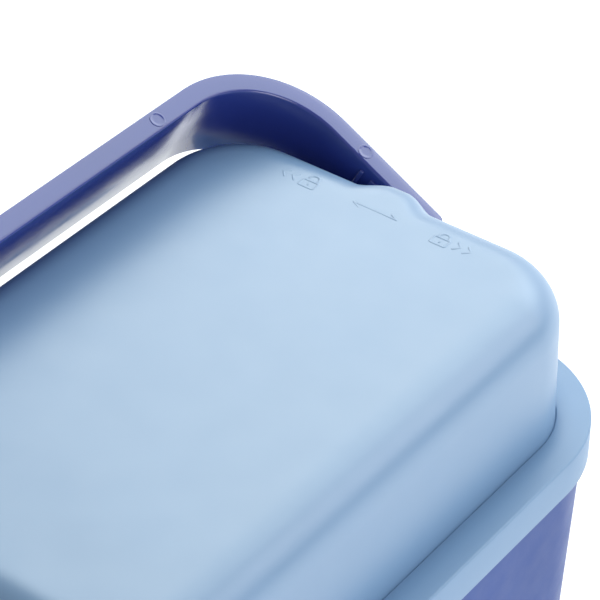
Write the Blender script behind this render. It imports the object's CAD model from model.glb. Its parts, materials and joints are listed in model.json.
"""The looks of a cat litter box with hood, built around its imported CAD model.

Light blue hood and dark blue pan and handle, all injection moulded, with a tinted swing flap.
Metres, +Z up; the doorway faces -Y and +X is the box's right side.
"""

import json
import math

import bmesh
import bpy
from mathutils import Matrix, Vector


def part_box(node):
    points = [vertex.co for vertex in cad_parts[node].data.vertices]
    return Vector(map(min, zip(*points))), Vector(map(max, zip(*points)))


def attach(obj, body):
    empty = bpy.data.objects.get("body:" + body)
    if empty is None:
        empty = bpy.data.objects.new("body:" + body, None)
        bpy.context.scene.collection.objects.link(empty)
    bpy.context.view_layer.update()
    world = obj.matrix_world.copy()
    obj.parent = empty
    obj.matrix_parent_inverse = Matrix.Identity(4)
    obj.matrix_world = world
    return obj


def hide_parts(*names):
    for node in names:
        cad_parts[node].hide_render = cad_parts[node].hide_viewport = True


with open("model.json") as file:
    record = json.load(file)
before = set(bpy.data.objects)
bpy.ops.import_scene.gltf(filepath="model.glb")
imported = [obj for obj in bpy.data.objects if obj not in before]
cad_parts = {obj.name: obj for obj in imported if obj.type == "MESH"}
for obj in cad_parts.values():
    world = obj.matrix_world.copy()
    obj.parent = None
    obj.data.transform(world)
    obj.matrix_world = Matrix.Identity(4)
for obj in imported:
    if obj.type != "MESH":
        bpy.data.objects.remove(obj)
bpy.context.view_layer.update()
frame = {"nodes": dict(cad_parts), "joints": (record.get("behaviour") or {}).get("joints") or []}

# The hood, from its CAD node's box and its own section
HOOD_LOW, HOOD_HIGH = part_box("hood_shell")
HALF_X = HOOD_HIGH.x
HALF_Y = HOOD_HIGH.y
TOP_Z = HOOD_HIGH.z
LIP_Z = HOOD_LOW.z
LIP_HEIGHT = 0.030
FLANGE_Z = LIP_Z + LIP_HEIGHT
DOME_HEIGHT = TOP_Z - FLANGE_Z
PLAN_RADIUS = 0.097
FLANGE_WIDTH = 0.0257
DOME_EDGE_RADIUS = 0.035
DOME_DRAFT = math.radians(1.4)
DOME_CROWN = 0.0012
LIP_EDGE_RADIUS = 0.0018
HOOD_WALL = 0.0028
BULGE_FACE_Y = 0.2595
BULGE_HALF_WIDTH = 0.033
BULGE_BLEND = 0.028
BULGE_EDGE_RADIUS = 0.026
GROOVE_WIDTH = 0.0010
GROOVE_DEPTH = 0.0013
SLOT_LOW_X = -0.0306
SLOT_HIGH_X = 0.0540
SLOT_SIDE_CLEARANCE = 0.001

# The pan
PAN_LOW, PAN_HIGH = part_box("base_pan")
PAN_WALL = 0.003
PAN_DRAFT = math.radians(2.5)
PAN_FLOOR_RADIUS = 0.015
PAN_PLAN_RADIUS = PLAN_RADIUS - (HALF_X - PAN_HIGH.x)
DOOR_HALF_WIDTH = 0.095
DOOR_SILL_Z = 0.090
DOOR_TOP_Z = 0.250
DOOR_CORNER_RADIUS = 0.030
DOOR_TOP_RADIUS = 0.003

# The flap and its rod
FLAP_LOW, FLAP_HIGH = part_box("flap")
ROD_LOW, ROD_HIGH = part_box("flap_rod")
FLAP_AXIS_Y = (ROD_LOW.y + ROD_HIGH.y) / 2
FLAP_AXIS_Z = (ROD_LOW.z + ROD_HIGH.z) / 2

# The handle, drawn flat as (p, y, n): p runs out from the pivot, n towards the rim
JOINTS = {joint["name"]: joint for joint in frame["joints"]}
PIVOT = Vector(JOINTS["handle_swing"]["pos_m"])
HANDLE_RAISE = -math.radians(JOINTS["handle_swing"]["range_deg"][0])
HANDLE_HIGH_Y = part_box("handle")[1].y
HANDLE_REACH = 0.1935
HANDLE_RIM_WIDTH = 0.016
HANDLE_WALL = 0.003
HANDLE_DEPTH = 0.076
HANDLE_RIM_OFFSET = 0.041
HANDLE_CORNER_RADIUS = 0.075
HUB_RADIUS = HANDLE_DEPTH / 2
HUB_OFFSET = HANDLE_RIM_OFFSET - HANDLE_DEPTH / 2
ARM_INNER_Y = HANDLE_HIGH_Y - HANDLE_RIM_WIDTH
PIN_BORE = 0.0063
PAD_INNER = 0.014
PAD_OUTER = 0.058
RIB_INNER = 0.0655
RIB_WIDTH = 0.0035
RIB_HALF_LENGTH = 0.033
RIM_START = -0.010
RIM_TAPER = 0.013
CAM_LOW, CAM_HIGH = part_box("latch_cam_back")
CAM_HUB_RADIUS = 0.020
CAM_TOE_INNER = 0.0625
CAM_TOE_OUTER = 0.0665
CAM_LEAD = 27.2
CAM_TOE_SWEEP = 38.5
CAM_SPOKE_HALF_WIDTH = 0.004
KEEPER_X = (-0.0385, -0.0300)
KEEPER_THICKNESS = 0.004

# Mesh resolution
CORNER_STEPS = 28
ROUND_STEPS = 14


# ---------------------------------------------------------------- mesh helpers


def finish_mesh(name, bm, body, material, cad_nodes=(), sharp=30):
    """Make a piece of the object from a bmesh and ride it on its body."""
    bmesh.ops.remove_doubles(bm, verts=bm.verts, dist=1e-7)
    bmesh.ops.recalc_face_normals(bm, faces=bm.faces)
    mesh = bpy.data.meshes.new(name)
    bm.to_mesh(mesh)
    bm.free()
    piece = bpy.data.objects.new(name, mesh)
    bpy.context.scene.collection.objects.link(piece)
    mesh.materials.append(material)
    mesh.shade_smooth()
    mesh.set_sharp_from_angle(angle=math.radians(sharp))
    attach(piece, body)
    if cad_nodes:
        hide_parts(*cad_nodes)
    return piece


def bmesh_object(bm, name="cutter"):
    bmesh.ops.recalc_face_normals(bm, faces=bm.faces)
    mesh = bpy.data.meshes.new(name)
    bm.to_mesh(mesh)
    bm.free()
    item = bpy.data.objects.new(name, mesh)
    bpy.context.scene.collection.objects.link(item)
    return item


def cut(bm, cutters):
    """Take each cutter's bmesh out of bm and return the result as a new bmesh."""
    target = bmesh_object(bm, "cut_target")
    tools = [bmesh_object(c) for c in cutters]
    for tool in tools:
        modifier = target.modifiers.new("cut", "BOOLEAN")
        modifier.operation = "DIFFERENCE"
        modifier.solver = "EXACT"
        modifier.object = tool
    bpy.context.view_layer.update()
    evaluated = target.evaluated_get(bpy.context.evaluated_depsgraph_get())
    result = bmesh.new()
    result.from_mesh(evaluated.to_mesh())
    evaluated.to_mesh_clear()
    for item in [target, *tools]:
        mesh = item.data
        bpy.data.objects.remove(item)
        bpy.data.meshes.remove(mesh)
    return result


def join(*parts):
    """Join several bmeshes into one."""
    whole = bmesh.new()
    for part in parts:
        mesh = bpy.data.meshes.new("part")
        part.to_mesh(mesh)
        part.free()
        whole.from_mesh(mesh)
        bpy.data.meshes.remove(mesh)
    return whole


def loft(loops, cap_ends=True, closed=False):
    """Bridge matching loops of points, with a cap on each end or as a ring."""
    bm = bmesh.new()
    rows = [[bm.verts.new(p) for p in loop] for loop in loops]
    pairs = list(zip(rows, rows[1:])) + ([(rows[-1], rows[0])] if closed else [])
    count = len(rows[0])
    for a, b in pairs:
        for i in range(count):
            j = (i + 1) % count
            bm.faces.new((a[i], a[j], b[j], b[i]))
    if cap_ends and not closed:
        bm.faces.new(list(reversed(rows[0])))
        bm.faces.new(rows[-1])
    return bm


def transform(bm, matrix):
    bmesh.ops.transform(bm, matrix=matrix, verts=bm.verts)
    return bm


def turned(profile, sides=48, ring=False, matrix=None):
    """Turn a (radius, height) profile about Z; a ring profile closes on itself."""
    loops = []
    for radius, height in profile:
        angles = [2 * math.pi * i / sides for i in range(sides)]
        loops.append([(radius * math.cos(a), radius * math.sin(a), height) for a in angles])
    bm = loft(loops, cap_ends=not ring, closed=ring)
    return transform(bm, matrix) if matrix else bm


def along_y(x, z, y=0.0, end=1):
    """Matrix that stands a turned shape's Z axis along +Y, or -Y at the front end."""
    turn = Matrix.Rotation(-math.pi / 2 * end, 4, "X")
    return Matrix.Translation((x, y, z)) @ turn


def arc(cx, cy, radius, start, stop, steps):
    """Points on an arc, angles in degrees."""
    points = []
    for i in range(steps + 1):
        a = math.radians(start + (stop - start) * i / steps)
        points.append((cx + radius * math.cos(a), cy + radius * math.sin(a)))
    return points


def smooth_share(t):
    t = min(max(t, 0.0), 1.0)
    return t * t * (3 - 2 * t)


def rounded_rectangle(half_x, z0, z1, radius, steps=10, top_radius=None):
    top = radius if top_radius is None else top_radius
    points = arc(half_x - radius, z0 + radius, radius, -90, 0, steps)
    points += arc(half_x - top, z1 - top, top, 0, 90, steps)
    points += arc(top - half_x, z1 - top, top, 90, 180, steps)
    points += arc(radius - half_x, z0 + radius, radius, 180, 270, steps)
    return points


def plate(outline, y0, y1, edge, steps=3):
    """A flat plate from an (x, z) outline, between two Y planes, with rounded edges."""
    inset_loops = []
    count = len(outline)
    for i in range(steps + 1):
        a = i / steps * math.pi / 2
        inset_loops.append((edge * (1 - math.sin(a)), y0 + edge * (1 - math.cos(a))))
    back = [(d, y1 - (y - y0)) for d, y in reversed(inset_loops)]
    loops = []
    for d, y in inset_loops + back:
        loop = []
        for i, (x, z) in enumerate(outline):
            before = Vector(outline[i - 1])
            after = Vector(outline[(i + 1) % count])
            tangent = (after - before).normalized()
            loop.append((x - tangent.y * d, y, z + tangent.x * d))
        loops.append(loop)
    return loft(loops)


def tube(points, radius, sides=12, closed=False, rise=None, up=Vector((0, 0, 1))):
    """A bead swept along points, with an elliptical section and rounded ends."""
    rise = radius if rise is None else rise
    points = [Vector(p) for p in points]
    count = len(points)
    frames = []
    for i, p in enumerate(points):
        before = points[(i - 1) % count] if closed or i > 0 else p
        after = points[(i + 1) % count] if closed or i < count - 1 else p
        tangent = (after - before).normalized()
        side = tangent.cross(up).normalized()
        frames.append((p, tangent, side, side.cross(tangent).normalized(), 1.0))
    if not closed:
        caps = [math.radians(a) for a in (80, 55, 28)]
        p, t, s, u, _ = frames[0]
        start = [(p - t * radius * math.sin(a), t, s, u, math.cos(a)) for a in caps]
        p, t, s, u, _ = frames[-1]
        end = [(p + t * radius * math.sin(a), t, s, u, math.cos(a)) for a in reversed(caps)]
        frames = start + frames + end
    loops = []
    for p, _, side, lift, scale in frames:
        loop = []
        for i in range(sides):
            a = 2 * math.pi * i / sides
            loop.append(p + side * radius * scale * math.cos(a) + lift * rise * scale * math.sin(a))
        loops.append(loop)
    return loft(loops, cap_ends=not closed, closed=closed)


# ------------------------------------------------------------------- materials


class Nodes:
    """Short forms for building a material's nodes."""

    def __init__(self, name):
        self.material = bpy.data.materials.new(name)
        self.material.use_nodes = True
        self.tree = self.material.node_tree
        self.shader = self.tree.nodes["Principled BSDF"]
        self.place = self.add("ShaderNodeTexCoord").outputs["Object"]

    def add(self, kind, **settings):
        node = self.tree.nodes.new(kind)
        for key, value in settings.items():
            setattr(node, key, value)
        return node

    def link(self, source, target):
        self.tree.links.new(source, target)

    def noise(self, scale, detail=3.0, roughness=0.5, stretch=None):
        node = self.add("ShaderNodeTexNoise")
        node.inputs["Scale"].default_value = scale
        node.inputs["Detail"].default_value = detail
        node.inputs["Roughness"].default_value = roughness
        source = self.place
        if stretch:
            mapping = self.add("ShaderNodeMapping")
            mapping.inputs["Scale"].default_value = stretch
            self.link(self.place, mapping.inputs["Vector"])
            source = mapping.outputs["Vector"]
        self.link(source, node.inputs["Vector"])
        return node.outputs["Fac"]

    def spread(self, source, low, high, from_low=0.3, from_high=0.7):
        node = self.add("ShaderNodeMapRange")
        node.inputs["From Min"].default_value = from_low
        node.inputs["From Max"].default_value = from_high
        node.inputs["To Min"].default_value = low
        node.inputs["To Max"].default_value = high
        self.link(source, node.inputs["Value"])
        return node.outputs["Result"]

    def mix(self, factor, a, b):
        node = self.add("ShaderNodeMix", data_type="RGBA")
        self.link(factor, node.inputs["Factor"])
        for socket, value in ((node.inputs["A"], a), (node.inputs["B"], b)):
            if isinstance(value, tuple):
                socket.default_value = (*value, 1.0)
            else:
                self.link(value, socket)
        return node.outputs["Result"]

    def bump(self, heights):
        """Chain bumps; heights is a list of (source, strength, distance)."""
        normal = None
        for source, strength, distance in heights:
            node = self.add("ShaderNodeBump")
            node.inputs["Strength"].default_value = strength
            node.inputs["Distance"].default_value = distance
            self.link(source, node.inputs["Height"])
            if normal:
                self.link(normal, node.inputs["Normal"])
            normal = node.outputs["Normal"]
        self.link(normal, self.shader.inputs["Normal"])


def shade(colour, factor):
    return tuple(min(c * factor, 1.0) for c in colour)


def moulded_plastic(name, colour, roughness, variation, grain, wear, scuffing, specular, ior=1.5):
    """Injection-moulded plastic: fine grain, faint flow marks, hairline scuffs and pale worn edges."""
    n = Nodes(name)
    cloud = n.noise(9.0, 4.0)
    flow = n.noise(14.0, 2.0, stretch=(1.0, 0.25, 1.0))
    base = n.mix(n.spread(cloud, 0.0, 1.0), shade(colour, 1 - variation), shade(colour, 1 + variation))
    geometry = n.add("ShaderNodeNewGeometry")
    edge = n.spread(geometry.outputs["Pointiness"], 0.0, wear, 0.53, 0.62)
    pale = tuple(c + (1 - c) * 0.22 for c in colour)
    worn = n.mix(edge, base, pale)
    n.link(worn, n.shader.inputs["Base Color"])
    fine = n.noise(1600.0, 2.0)
    scuff = n.noise(38.0, 6.0, 0.6)
    blend = n.add("ShaderNodeMath", operation="ADD")
    n.link(n.spread(scuff, -scuffing, scuffing), blend.inputs[0])
    n.link(n.spread(cloud, roughness - 0.012, roughness + 0.012), blend.inputs[1])
    n.link(blend.outputs["Value"], n.shader.inputs["Roughness"])
    n.shader.inputs["Specular IOR Level"].default_value = specular
    n.shader.inputs["IOR"].default_value = ior
    n.bump([(flow, 0.05, 0.001), (fine, grain, 0.00012)])
    return n.material


def clear_plastic(name, colour):
    """Tinted see-through plastic with light scuffing."""
    n = Nodes(name)
    haze = n.noise(30.0, 5.0, 0.6)
    n.link(n.mix(n.spread(haze, 0.0, 1.0), shade(colour, 0.94), shade(colour, 1.04)), n.shader.inputs["Base Color"])
    n.link(n.spread(haze, 0.10, 0.22), n.shader.inputs["Roughness"])
    n.shader.inputs["Transmission Weight"].default_value = 0.86
    n.shader.inputs["IOR"].default_value = 1.49
    n.bump([(n.noise(700.0, 2.0), 0.12, 0.0001)])
    return n.material


def spring_steel(name):
    n = Nodes(name)
    streak = n.noise(350.0, 4.0, 0.6, stretch=(0.06, 1.0, 1.0))
    n.link(n.mix(streak, (0.46, 0.46, 0.45), (0.66, 0.66, 0.64)), n.shader.inputs["Base Color"])
    n.link(n.spread(streak, 0.22, 0.40), n.shader.inputs["Roughness"])
    n.shader.inputs["Metallic"].default_value = 1.0
    n.bump([(streak, 0.25, 0.00005)])
    return n.material


def foot_rubber(name):
    n = Nodes(name)
    dust = n.noise(120.0, 4.0, 0.6)
    n.link(n.mix(n.spread(dust, 0.0, 1.0), (0.018, 0.018, 0.020), (0.050, 0.050, 0.052)), n.shader.inputs["Base Color"])
    n.link(n.spread(dust, 0.70, 0.90), n.shader.inputs["Roughness"])
    n.bump([(n.noise(1100.0, 2.0), 0.4, 0.0002)])
    return n.material


def washer_nylon(name):
    n = Nodes(name)
    cloud = n.noise(200.0, 3.0)
    n.link(n.mix(cloud, (0.70, 0.70, 0.65), (0.82, 0.82, 0.78)), n.shader.inputs["Base Color"])
    n.link(n.spread(cloud, 0.36, 0.50), n.shader.inputs["Roughness"])
    n.shader.inputs["Subsurface Weight"].default_value = 0.2
    n.bump([(n.noise(1500.0, 2.0), 0.2, 0.00008)])
    return n.material


HOOD_BLUE = (0.156, 0.278, 0.452)
PIVOT_BLUE = (0.030, 0.045, 0.230)
PAN_BLUE = (0.036, 0.078, 0.275)
HANDLE_BLUE = (0.024, 0.041, 0.250)

hood_plastic = moulded_plastic("hood_plastic", HOOD_BLUE, 0.38, 0.02, 0.25, 0.40, 0.02, 1.0, 1.6)
flange_plastic = moulded_plastic("flange_plastic", HOOD_BLUE, 0.46, 0.02, 0.30, 0.40, 0.02, 0.8)
pan_plastic = moulded_plastic("pan_plastic", PAN_BLUE, 0.42, 0.06, 0.30, 0.25, 0.05, 0.15)
handle_plastic = moulded_plastic("handle_plastic", HANDLE_BLUE, 0.13, 0.05, 0.10, 0.25, 0.05, 0.9)
pivot_plastic = moulded_plastic("pivot_plastic", PIVOT_BLUE, 0.34, 0.06, 0.25, 0.25, 0.04, 0.5)
flap_plastic = clear_plastic("flap_plastic", (0.62, 0.78, 0.92))
steel = spring_steel("spring_steel")
rubber = foot_rubber("foot_rubber")
nylon = washer_nylon("washer_nylon")


# ------------------------------------------------------------------------ hood


def bulge_share(x):
    return smooth_share((BULGE_HALF_WIDTH - abs(x)) / BULGE_BLEND)


def plan_ring(half_x, half_y, radius, z, bulge_y=None):
    """A rounded rectangle seen from above; bulge_y is how far out the end-wall bulges reach."""
    bulge_steps = 32
    points = []
    for quarter in range(4):
        side_x = half_x - radius if quarter in (0, 3) else radius - half_x
        side_y = half_y - radius if quarter in (0, 1) else radius - half_y
        start = quarter * 90
        points += [(x, y, z) for x, y in arc(side_x, side_y, radius, start, start + 90, CORNER_STEPS)]
        if quarter in (0, 2):
            end = 1 if quarter == 0 else -1
            reach = half_y if bulge_y is None else bulge_y
            for i in range(bulge_steps + 1):
                x = BULGE_HALF_WIDTH * (2 * i / bulge_steps - 1)
                y = half_y + (reach - half_y) * bulge_share(x)
                points.append((-end * x, end * y, z))
        else:
            side = -1 if quarter == 1 else 1
            for i in range(1, 12):
                y = (half_y - radius) * (1 - i / 6) * -side
                points.append((side * half_x, y, z))
    return points


def shrink_to_spine(point, spine, scale, z):
    """Draw a point of a long ring in towards the line that runs down the ring's middle."""
    x, y, _ = point
    near = min(max(y, -spine), spine)
    return (x * scale, near + (y - near) * scale, z)


def dome_loops():
    """Outer rings of the hood, from the middle of the top out and down to the lip's outer bottom edge."""
    wall_x = HALF_X - FLANGE_WIDTH
    wall_y = HALF_Y - FLANGE_WIDTH
    wall_r = PLAN_RADIUS - FLANGE_WIDTH
    straight = DOME_HEIGHT - DOME_EDGE_RADIUS
    top_inset = straight * math.tan(DOME_DRAFT) + DOME_EDGE_RADIUS
    loops = []

    def ring(height, inset, bulge_y=None, lift=0.0):
        radius = max(wall_r - inset, 0.006)
        loops.append(plan_ring(wall_x - inset, wall_y - inset, radius, FLANGE_Z + height + lift, bulge_y))

    def bulge_at(height):
        rise = max(height - (DOME_HEIGHT - BULGE_EDGE_RADIUS), 0.0)
        drop = BULGE_EDGE_RADIUS - math.sqrt(max(BULGE_EDGE_RADIUS**2 - rise**2, 0.0))
        return BULGE_FACE_Y - drop

    edge = plan_ring(wall_x - top_inset, wall_y - top_inset, wall_r - top_inset, TOP_Z, bulge_at(DOME_HEIGHT))
    spine = wall_y - wall_x
    flat = 0.20
    for scale in (flat, 0.30, 0.40, 0.50, 0.60, 0.70, 0.80, 0.90, 0.96):
        z = TOP_Z + DOME_CROWN * (1 - smooth_share((scale - flat) / (1 - flat)))
        loops.append([shrink_to_spine(point, spine, scale, z) for point in edge])
    for step in range(ROUND_STEPS, -1, -1):
        a = step / ROUND_STEPS * math.pi / 2
        height = straight + DOME_EDGE_RADIUS * math.sin(a)
        inset = straight * math.tan(DOME_DRAFT) + DOME_EDGE_RADIUS * (1 - math.cos(a))
        ring(height, inset, bulge_at(height))
    for share in (0.75, 0.5, 0.25, 0.1, 0.03):
        ring(straight * share, straight * share * math.tan(DOME_DRAFT), BULGE_FACE_Y)
    ring(0.0004, 0.0, BULGE_FACE_Y)
    ring(-GROOVE_DEPTH * 0.7, 0.0, BULGE_FACE_Y)
    ring(-GROOVE_DEPTH, -GROOVE_WIDTH * 0.35, BULGE_FACE_Y + GROOVE_WIDTH * 0.35)
    ring(-GROOVE_DEPTH * 0.6, -GROOVE_WIDTH * 0.8, BULGE_FACE_Y + GROOVE_WIDTH * 0.8)
    ring(-0.0002, -GROOVE_WIDTH, BULGE_FACE_Y + GROOVE_WIDTH)
    ring(0.0, -GROOVE_WIDTH * 1.4, BULGE_FACE_Y + GROOVE_WIDTH * 1.4)
    ring(0.0, -FLANGE_WIDTH * 0.5, BULGE_FACE_Y + 0.007)
    for step in range(7):
        a = math.pi / 2 * (1 - step / 6)
        d = LIP_EDGE_RADIUS * (1 - math.cos(a))
        z = FLANGE_Z - LIP_EDGE_RADIUS * (1 - math.sin(a))
        loops.append(plan_ring(HALF_X - d, HALF_Y - d, PLAN_RADIUS - d, z))
    soft = 0.0008
    for step in range(4):
        a = step / 3 * math.pi / 2
        d = soft * (1 - math.cos(a))
        loops.append(plan_ring(HALF_X - d, HALF_Y - d, PLAN_RADIUS - d, LIP_Z + soft * (1 - math.sin(a))))
    return loops


def lining_loops():
    """Inner rings of the hood, from the lip's inner bottom edge up and in to the middle of the ceiling."""
    wall_x = HALF_X - FLANGE_WIDTH
    wall_y = HALF_Y - FLANGE_WIDTH
    wall_r = PLAN_RADIUS - FLANGE_WIDTH
    straight = DOME_HEIGHT - DOME_EDGE_RADIUS
    t = HOOD_WALL
    soft = 0.0008
    loops = []
    for step in range(4):
        a = math.pi / 2 * (1 - step / 3)
        d = t - soft * (1 - math.cos(a))
        loops.append(plan_ring(HALF_X - d, HALF_Y - d, PLAN_RADIUS - d, LIP_Z + soft * (1 - math.sin(a))))
    loops.append(plan_ring(HALF_X - t, HALF_Y - t, PLAN_RADIUS - t, FLANGE_Z - t - 0.0015))
    loops.append(plan_ring(HALF_X - t - 0.0015, HALF_Y - t - 0.0015, PLAN_RADIUS - t - 0.0015, FLANGE_Z - t))
    loops.append(plan_ring(wall_x - t + 0.002, wall_y - t + 0.002, wall_r - t + 0.002, FLANGE_Z - t))
    loops.append(plan_ring(wall_x - t, wall_y - t, wall_r - t, FLANGE_Z - t + 0.002))
    for step in range(ROUND_STEPS + 1):
        a = step / ROUND_STEPS * math.pi / 2
        height = straight + (DOME_EDGE_RADIUS - t) * math.sin(a)
        d = straight * math.tan(DOME_DRAFT) + t + (DOME_EDGE_RADIUS - t) * (1 - math.cos(a))
        loops.append(plan_ring(wall_x - d, wall_y - d, wall_r - d, FLANGE_Z + height))
    return loops


def slot_cutter(x0, x1, y0, y1, z0, z1):
    """A slot with round ends, along X, cut down through the flange."""
    radius = (y1 - y0) / 2
    mid = (y0 + y1) / 2
    outline = arc(x1 - radius, mid, radius, -90, 90, 8) + arc(x0 + radius, mid, radius, 90, 270, 8)
    return loft([[(x, y, z) for x, y in outline] for z in (z0, z1)])


def make_hood():
    shell = loft(dome_loops() + lining_loops())
    bore = turned([(PIN_BORE, -HALF_Y), (PIN_BORE, HALF_Y)], 40, matrix=along_y(0.0, PIVOT.z))
    cutters = [bore]
    for end in (-1, 1):
        near = CAM_LOW.y - SLOT_SIDE_CLEARANCE
        far = CAM_HIGH.y + SLOT_SIDE_CLEARANCE
        y = sorted((end * near, end * far))
        cutters.append(slot_cutter(SLOT_LOW_X, SLOT_HIGH_X, *y, FLANGE_Z - 0.008, FLANGE_Z + 0.004))
    hood = finish_mesh("hood", cut(shell, cutters), "hood", hood_plastic, ["hood_shell"], 32)
    hood.data.materials.append(flange_plastic)
    for face in hood.data.polygons:
        if face.center.z < FLANGE_Z + 0.0002:
            face.material_index = 1
    return hood


# ---------------------------------------------------- raised marks on the hood


MARK_Y = 0.2115
MARK_OFFSET = 0.0675
MARK_MIDDLE = 0.0045
MARK_BEAD = 0.0013
MARK_RISE = 0.0008
MARK_SINK = 0.00048


def mark_bead(points, closed=False):
    """A low bead on the hood's top: only the crown of its round section stands clear of the surface."""
    placed = [(MARK_MIDDLE + x, MARK_Y + y, TOP_Z - MARK_SINK) for x, y in points]
    return tube(placed, MARK_BEAD, 12, closed, MARK_RISE)


def padlock(cx, is_open):
    """A padlock's outline; an open one has its shackle lifted off on one side."""
    w, low, high, r = 0.0065, -0.0063, 0.0018, 0.0014
    body = arc(cx + w - r, low + r, r, -90, 0, 4) + arc(cx + w - r, high - r, r, 0, 90, 4)
    body += arc(cx - w + r, high - r, r, 90, 180, 4) + arc(cx - w + r, low + r, r, 180, 270, 4)
    reach = 0.0041
    lift = 0.0030 if is_open else 0.0014
    shackle = [(cx + reach, high)] + arc(cx, high + lift, reach, 0, 180, 12)
    if not is_open:
        shackle.append((cx - reach, high))
    keyhole = [(cx, -0.0012), (cx, -0.0032)]
    return [mark_bead(body, True), mark_bead(shackle), mark_bead(keyhole)]


def chevrons(cx, side, count=2, pitch=0.0085):
    """Chevrons that point the way the handle swings."""
    marks = []
    for i in range(count):
        tip = cx + side * i * pitch
        marks.append(mark_bead([(tip - side * 0.0042, 0.0042), (tip, 0.0), (tip - side * 0.0042, -0.0042)]))
    return marks


def double_arrow(half=0.0185, head=0.0060):
    """Two half-headed arrows end to end, pointing apart."""
    shaft = [(side * half * share, 0.0) for side, share in ((-1, 1), (-1, 0.4), (1, 0.4), (1, 1))]
    marks = [mark_bead(shaft)]
    for side in (-1, 1):
        tip = side * half
        marks.append(mark_bead([(tip - side * head, side * head * 0.55), (tip, 0.0)]))
    return marks


def make_marks():
    """Low relief by the back hub: an open padlock on the side that frees the hood, a closed one opposite."""
    marks = padlock(-MARK_OFFSET + 0.010, True) + chevrons(-MARK_OFFSET - 0.006, -1)
    marks += double_arrow()
    marks += padlock(MARK_OFFSET - 0.010, False) + chevrons(MARK_OFFSET + 0.006, 1)
    return finish_mesh("hood_marks", join(*marks), "hood", hood_plastic, sharp=60)


# ---------------------------------------------------------------------- handle


def handle_matrix():
    """Turns a shape drawn flat as (p, y, n) into the raised handle's place."""
    c, s = math.cos(HANDLE_RAISE), math.sin(HANDLE_RAISE)
    matrix = Matrix(((-c, 0, s, 0), (0, 1, 0, 0), (s, 0, c, 0), (0, 0, 0, 1)))
    return Matrix.Translation(PIVOT) @ matrix


def bail_stations():
    """Stations round the bail: (p, y, normal p, normal y, distance along the arm from the pivot)."""
    inner_p = HANDLE_REACH - HANDLE_RIM_WIDTH
    r = HANDLE_CORNER_RADIUS
    straight = inner_p - r
    tip = -HUB_RADIUS
    arm = [tip * math.sin(math.radians(a)) for a in (87, 80, 70, 60, 50, 40, 30, 20, 10)]
    arm += [RIM_START + RIM_TAPER * step / 8 for step in range(9)]
    arm += [0.010, 0.018, 0.027, 0.036, 0.048, 0.065, 0.085]
    arm.sort()
    stations = [(p, ARM_INNER_Y, 0.0, 1.0) for p in arm]
    for end in (1, -1):
        for step in range(41):
            a = step / 40 * 90
            a = math.radians(90 - a if end == 1 else -a)
            cy = end * (ARM_INNER_Y - r)
            stations.append((straight + r * math.cos(a), cy + r * math.sin(a), math.cos(a), math.sin(a)))
        if end == 1:
            for step in range(1, 8):
                y = (ARM_INNER_Y - r) * (1 - step / 4)
                stations.append((inner_p, y, 1.0, 0.0))
    stations += [(p, -ARM_INNER_Y, 0.0, -1.0) for p in reversed(arm)]
    return stations


def band_section(p):
    """The band's (outward, n) outline at a distance p from the pivot, always with the same point count."""
    half = math.sqrt(max(HUB_RADIUS**2 - min(p, 0.0) ** 2, 1e-8))
    low = HUB_OFFSET - half
    top = HUB_OFFSET + half
    w = HANDLE_WALL
    rim = w + (HANDLE_RIM_WIDTH - w) * smooth_share((p - RIM_START) / RIM_TAPER)
    edge = min(0.0011, half * 0.4)
    brim = min(edge, (rim - w) * 0.4 + 0.0004)
    fillet = min(0.0025, (rim - w) * 0.45 + 0.0001)
    corner = min(0.0022, half * 0.4)
    thick = min(w, half)
    section = arc(edge, low + edge, edge, 180, 270, 4)
    section += arc(w - edge, low + edge, edge, 270, 360, 4)
    section += [(w, HUB_OFFSET - half * 0.4), (w, HUB_OFFSET + half * 0.4)]
    section += [(x, n) for x, n in arc(w + fillet, top - thick - fillet, fillet, 180, 90, 5)]
    section += arc(max(rim - brim, w), top - thick + brim * 0.5, brim * 0.5, 270, 360, 3)
    section += arc(max(rim - brim, w), top - brim, brim, 0, 90, 4)
    section += arc(corner, top - corner, corner, 90, 180, 6)
    section += [(0.0, HUB_OFFSET + half * 0.4), (0.0, HUB_OFFSET - half * 0.4)]
    return section


def bail_band():
    loops = []
    for p, y, normal_p, normal_y in bail_stations():
        reach = p if abs(normal_y) == 1.0 else HANDLE_REACH
        section = band_section(reach)
        loops.append([(p + o * normal_p, y + o * normal_y, n) for o, n in section])
    return loft(loops)


def raised_disc(p, y, radius=0.0062, rise=0.0003):
    """A shallow round mark on the rim, slightly dished, with a soft edge."""
    top = HANDLE_RIM_OFFSET
    profile = [(radius, top - 0.001), (radius, top + rise * 0.5), (radius - 0.0003, top + rise * 0.9)]
    profile += [(radius - 0.0007, top + rise), (radius - 0.0013, top + rise * 0.85)]
    profile += [(radius - 0.0018, top + rise * 0.25), (radius * 0.4, top + rise * 0.15), (0.0004, top + rise * 0.2)]
    return turned(profile, 40, matrix=Matrix.Translation((p, y, 0.0)))


def soft_box(low, high, edge):
    """A box with rounded edges, for pads and ribs."""
    bm = bmesh.new()
    bmesh.ops.create_cube(bm, size=1.0)
    size = Vector(high) - Vector(low)
    centre = (Vector(high) + Vector(low)) / 2
    transform(bm, Matrix.Translation(centre) @ Matrix.Diagonal((*size, 1.0)))
    bmesh.ops.bevel(bm, geom=bm.edges[:], offset=edge, segments=3, profile=0.5, affect="EDGES")
    return bm


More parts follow.
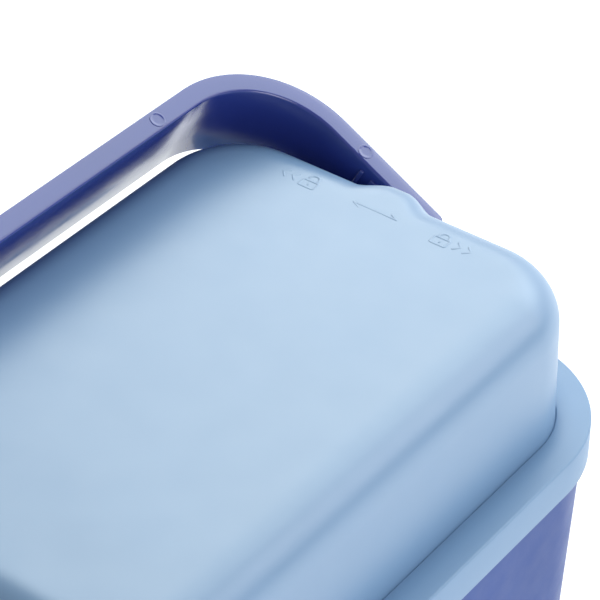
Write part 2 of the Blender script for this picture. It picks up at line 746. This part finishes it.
def make_handle():
    bore = turned([(PIN_BORE, -HALF_Y), (PIN_BORE, HALF_Y)], 40, matrix=along_y(0.0, 0.0))
    parts = [cut(bail_band(), [bore])]
    for end in (-1, 1):
        y = sorted((end * (ARM_INNER_Y - 0.0018), end * (ARM_INNER_Y + 0.0010)))
        parts.append(soft_box((PAD_INNER, y[0], -RIB_HALF_LENGTH), (PAD_OUTER, y[1], RIB_HALF_LENGTH), 0.0006))
        rib_end = RIB_INNER + RIB_WIDTH
        parts.append(soft_box((RIB_INNER, y[0], -RIB_HALF_LENGTH), (rib_end, y[1], RIB_HALF_LENGTH), 0.0011))
        parts.append(raised_disc(0.0755, end * (ARM_INNER_Y + HANDLE_RIM_WIDTH / 2)))
        parts.append(raised_disc(HANDLE_REACH - HANDLE_RIM_WIDTH / 2, end * 0.1498))
    whole = transform(join(*parts), handle_matrix())
    return finish_mesh("handle_bail", whole, "handle", handle_plastic, ["handle"], 35)


# ------------------------------------------------------------------------- pan


def pan_loops():
    top_z = PAN_HIGH.z
    floor_z = PAN_LOW.z
    loops = []

    def ring(z, inset):
        d = inset + (top_z - z) * math.tan(PAN_DRAFT)
        loops.append(plan_ring(PAN_HIGH.x - d, PAN_HIGH.y - d, PAN_PLAN_RADIUS - d, z))

    # the underside: a shallow recess, then the standing edge and the round foot of the wall
    ring(floor_z + 0.0010, 0.050)
    ring(floor_z + 0.0010, 0.0235)
    ring(floor_z, 0.0220)
    r = PAN_FLOOR_RADIUS
    for step in range(11):
        a = step / 10 * math.pi / 2
        ring(floor_z + r * (1 - math.cos(a)), r * (1 - math.sin(a)))
    for share in (0.15, 0.35, 0.6, 0.8, 0.92):
        ring(floor_z + r + (top_z - floor_z - r) * share, 0.0)
    soft = 0.0010
    for step in range(5):
        a = step / 4 * math.pi / 2
        ring(top_z - soft * (1 - math.sin(a)), soft * (1 - math.cos(a)))
    for step in range(4, -1, -1):
        a = step / 4 * math.pi / 2
        ring(top_z - soft * (1 - math.sin(a)), PAN_WALL - soft * (1 - math.cos(a)))
    for share in (0.75, 0.4, 0.15):
        ring(floor_z + r + (top_z - floor_z - r) * share, PAN_WALL)
    inner = r - PAN_WALL
    for step in range(10, -1, -1):
        a = step / 10 * math.pi / 2
        ring(floor_z + PAN_WALL + inner * (1 - math.cos(a)), PAN_WALL + inner * (1 - math.sin(a)))
    ring(floor_z + PAN_WALL, 0.050)
    return loops


def pan_wall_y(z):
    """Y of the front wall's outer face at height z."""
    return -(PAN_HIGH.y - (PAN_HIGH.z - z) * math.tan(PAN_DRAFT))


def doorway_bead(y_offset, radius):
    """A rounded bead round the doorway, following the leaning wall."""
    outline = rounded_rectangle(DOOR_HALF_WIDTH, DOOR_SILL_Z, DOOR_TOP_Z, DOOR_CORNER_RADIUS, 16, DOOR_TOP_RADIUS)
    return tube([(x, pan_wall_y(z) + y_offset, z) for x, z in outline], radius, 14, True, up=Vector((0, -1, 0)))


def make_pan():
    outline = rounded_rectangle(DOOR_HALF_WIDTH, DOOR_SILL_Z, DOOR_TOP_Z, DOOR_CORNER_RADIUS, 16, DOOR_TOP_RADIUS)
    doorway = loft([[(x, y, z) for x, z in outline] for y in (-HALF_Y - 0.01, -HALF_Y + 0.04)])
    shell = cut(loft(pan_loops()), [doorway])
    parts = [shell, doorway_bead(PAN_WALL / 2, 0.0024)]
    inner_y = PAN_HIGH.y - PAN_WALL
    for end in (-1, 1):
        y = sorted((end * (CAM_LOW.y - 0.0005), end * (inner_y + 0.0012)))
        low = (KEEPER_X[0], y[0], PAN_HIGH.z - KEEPER_THICKNESS)
        high = (KEEPER_X[1], y[1], PAN_HIGH.z - 0.0002)
        parts.append(soft_box(low, high, 0.0006))
    rod_hole = 0.0023
    for side in (-1, 1):
        x = sorted((side * 0.098, side * 0.103))
        low = (x[0], -HALF_Y + 0.0065, FLAP_AXIS_Z - 0.008)
        high = (x[1], FLAP_AXIS_Y + 0.0055, FLAP_AXIS_Z + 0.008)
        hole = turned([(rod_hole, x[0] - 0.002), (rod_hole, x[1] + 0.002)], 24)
        place = Matrix.Translation((0, FLAP_AXIS_Y, FLAP_AXIS_Z)) @ Matrix.Rotation(math.pi / 2, 4, "Y")
        parts.append(cut(soft_box(low, high, 0.0010), [transform(hole, place)]))
    return finish_mesh("pan", join(*parts), "base", pan_plastic, ["base_pan"], 32)


# ------------------------------------------------------------------------ flap


def make_flap():
    """Tinted flap: thin panel, thicker border, grip ridges and a barrel in three knuckles."""
    half = FLAP_HIGH.x
    bottom = FLAP_LOW.z
    corner = DOOR_CORNER_RADIUS - 0.003
    top = FLAP_AXIS_Z - 0.0030
    panel = plate(rounded_rectangle(half - 0.001, bottom + 0.001, top, corner, 14, 0.001), -0.0008, 0.0008, 0.0003)
    border_x = half - 0.0032
    low_z = bottom + 0.0032
    lines = rounded_rectangle(border_x, low_z, top - 0.004, corner - 0.0032, 14, 0.006)
    border = tube([(x, 0.0, z) for x, z in lines], 0.0030, 14, True, 0.00125, up=Vector((0, -1, 0)))
    parts = [panel, border]
    for row in range(3):
        z = bottom + 0.016 + row * 0.0055
        ridge = [(x, 0.0, z) for x in (-0.030, -0.010, 0.010, 0.030)]
        parts.append(tube(ridge, 0.0012, 10, False, 0.00115, up=Vector((0, -1, 0))))
    moved = [transform(part, Matrix.Translation((0, FLAP_AXIS_Y, 0))) for part in parts]
    knuckles = [(-half + 0.0005, -half / 3 - 0.0006), (-half / 3 + 0.0006, half / 3 - 0.0006)]
    knuckles.append((half / 3 + 0.0006, half - 0.0005))
    place = Matrix.Translation((0, FLAP_AXIS_Y, FLAP_AXIS_Z)) @ Matrix.Rotation(math.pi / 2, 4, "Y")
    for x0, x1 in knuckles:
        profile = [(0.0023, x0), (0.0038, x0), (0.0045, x0 + 0.0007)]
        profile += [(0.0045, x1 - 0.0007), (0.0038, x1), (0.0023, x1)]
        moved.append(turned(profile, 32, True, place))
    return finish_mesh("flap_panel", join(*moved), "flap", flap_plastic, ["flap"], 35)


# -------------------------------------------------------- pivots, cams and feet


def make_pivot(label, end):
    """A headed pivot pin: domed head with a moulded cross recess, chamfered tail."""
    low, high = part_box(f"pivot_pin_{label}")
    tail = min(abs(low.y), abs(high.y))
    tip = max(abs(low.y), abs(high.y))
    head = 0.013
    thick = 0.004
    shaft = 0.006
    profile = [(0.0036, tail), (0.0050, tail + 0.0004), (shaft, tail + 0.0014), (shaft, tip - thick)]
    profile += [(head - 0.0004, tip - thick), (head, tip - thick + 0.0004), (head, tip - 0.0021)]
    for a in (20, 40, 60, 80):
        share = math.radians(a)
        profile.append((head - 0.0021 * (1 - math.cos(share)) * 1.6, tip - 0.0021 * (1 - math.sin(share))))
    profile += [(0.0060, tip), (0.0045, tip)]
    pin = turned(profile, 56)
    slots = [soft_box((-0.0052, -0.0009, tip - 0.0016), (0.0052, 0.0009, tip + 0.002), 0.0003)]
    slots.append(soft_box((-0.0009, -0.0052, tip - 0.0016), (0.0009, 0.0052, tip + 0.002), 0.0003))
    pin = transform(cut(pin, slots), along_y(0.0, PIVOT.z, 0.0, end))
    node = f"pivot_pin_{label}"
    return finish_mesh(f"pin_{label}", pin, "hood", pivot_plastic, [node], 35)


def cam_outline():
    """The latch cam in (p, n): a hub, a spoke leaning away from the handle and a toe curling further."""
    w = CAM_SPOKE_HALF_WIDTH
    spoke = 90 + CAM_LEAD
    tip = 90 + CAM_TOE_SWEEP
    root = math.degrees(math.asin(w / CAM_HUB_RADIUS))
    points = arc(0, 0, CAM_HUB_RADIUS, spoke + root, spoke + 360 - root, 40)
    points += arc(0, 0, CAM_TOE_OUTER, spoke - math.degrees(math.asin(w / CAM_TOE_OUTER)), tip, 14)
    points += arc(0, 0, CAM_TOE_INNER, tip, spoke + math.degrees(math.asin(w / CAM_TOE_INNER)), 8)
    return points


def make_cam(label, end):
    y = sorted((end * CAM_LOW.y, end * CAM_HIGH.y))
    body = plate(cam_outline(), y[0], y[1], 0.0006)
    bore = turned([(PIN_BORE, -HALF_Y), (PIN_BORE, HALF_Y)], 40, matrix=along_y(0.0, 0.0))
    whole = transform(cut(body, [bore]), handle_matrix())
    return finish_mesh(f"cam_{label}", whole, "handle", pivot_plastic, [f"latch_cam_{label}"], 35)


def make_foot(node):
    """A rubber pad with a rounded sole and two grip grooves."""
    low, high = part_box(node)
    centre = (low + high) / 2
    r = (high.x - low.x) / 2
    h = high.z
    groove = 0.0005
    profile = [(0.0008, 0.0), (r * 0.36, 0.0), (r * 0.40, groove), (r * 0.46, groove), (r * 0.50, 0.0)]
    profile += [(r * 0.68, 0.0), (r * 0.72, groove), (r * 0.78, groove), (r * 0.82, 0.0)]
    profile += [(r - 0.0014, 0.0), (r - 0.0010, 0.0003), (r - 0.0004, 0.0012), (r, h - 0.0002), (r - 0.0002, h)]
    foot = turned(profile, 48, matrix=Matrix.Translation((centre.x, centre.y, 0.0)))
    return finish_mesh(node.replace("foot", "pad"), foot, "base", rubber, [node], 40)


def make_details():
    for label, end in (("front", -1), ("back", 1)):
        make_pivot(label, end)
        make_cam(label, end)
    for node in ("foot_front_left", "foot_front_right", "foot_back_left", "foot_back_right"):
        make_foot(node)
    kept = {"flap_rod": steel, "pin_retainer_front": steel, "pin_retainer_back": steel}
    kept |= {"spacer_washer_front": nylon, "spacer_washer_back": nylon}
    for node, material in kept.items():
        for material_slot in frame["nodes"][node].material_slots:
            material_slot.material = material


# ---------------------------------------------------------------------- studio


def make_studio():
    """A plain pale floor under broad soft light, and a camera above the back right of the box."""
    bm = bmesh.new()
    bmesh.ops.create_grid(bm, x_segments=1, y_segments=1, size=40.0)
    bmesh.ops.translate(bm, vec=(0.0, 0.0, -0.0003), verts=bm.verts)
    floor = bmesh_object(bm, "floor")
    n = Nodes("studio_floor")
    n.shader.inputs["Base Color"].default_value = (0.90, 0.90, 0.90, 1.0)
    n.shader.inputs["Emission Color"].default_value = (1.0, 1.0, 1.0, 1.0)
    n.shader.inputs["Emission Strength"].default_value = 0.35
    n.shader.inputs["Roughness"].default_value = 0.9
    n.shader.inputs["Specular IOR Level"].default_value = 0.1
    floor.data.materials.append(n.material)

    world = bpy.data.worlds.new("studio")
    world.use_nodes = True
    world.node_tree.nodes["Background"].inputs["Color"].default_value = (0.95, 0.97, 1.0, 1.0)
    world.node_tree.nodes["Background"].inputs["Strength"].default_value = 0.34
    bpy.context.scene.world = world

    lights = (
        ("overhead", (-0.55, 2.05, 2.50), (3.9, 2.5), 90.0, (0.91, 0.99, 0.98)),
        ("back_wall", (-0.90, 3.70, 1.50), (6.4, 3.4), 62.0, (1.0, 1.0, 1.0)),
        ("right_back", (2.00, 2.00, 1.80), (1.7, 1.7), 22.0, (0.97, 0.99, 1.0)),
        ("right_key", (2.70, -0.70, 1.50), (1.6, 1.6), 32.0, (1.0, 1.0, 1.0)),
    )
    for name, place, size, power, tint in lights:
        data = bpy.data.lights.new(name, "AREA")
        data.shape = "RECTANGLE"
        data.size, data.size_y = size
        data.energy = power
        data.color = tint
        lamp = bpy.data.objects.new(name, data)
        lamp.location = place
        lamp.visible_camera = False
        aim = Vector((0.0, 0.05, 0.30)) - Vector(place)
        lamp.rotation_euler = aim.to_track_quat("-Z", "Y").to_euler()
        bpy.context.scene.collection.objects.link(lamp)

    data = bpy.data.cameras.new("camera")
    data.sensor_width = 36.0
    data.lens = 152.2
    data.clip_start = 0.05
    data.clip_end = 50.0
    camera = bpy.data.objects.new("camera", data)
    azimuth = math.radians(37.20)
    elevation = math.radians(37.74)
    level = Vector((-math.sin(azimuth), math.cos(azimuth), 0.0))
    look = level * math.cos(elevation) - Vector((0, 0, math.sin(elevation)))
    camera.location = Vector((0.8459, -0.9850, 1.4515))
    camera.rotation_mode = "QUATERNION"
    camera.rotation_quaternion = look.to_track_quat("-Z", "Y")
    bpy.context.scene.collection.objects.link(camera)
    bpy.context.scene.camera = camera
    bpy.context.scene.view_settings.view_transform = "Standard"


make_hood()
make_marks()
make_handle()
make_pan()
make_flap()
make_details()
make_studio()
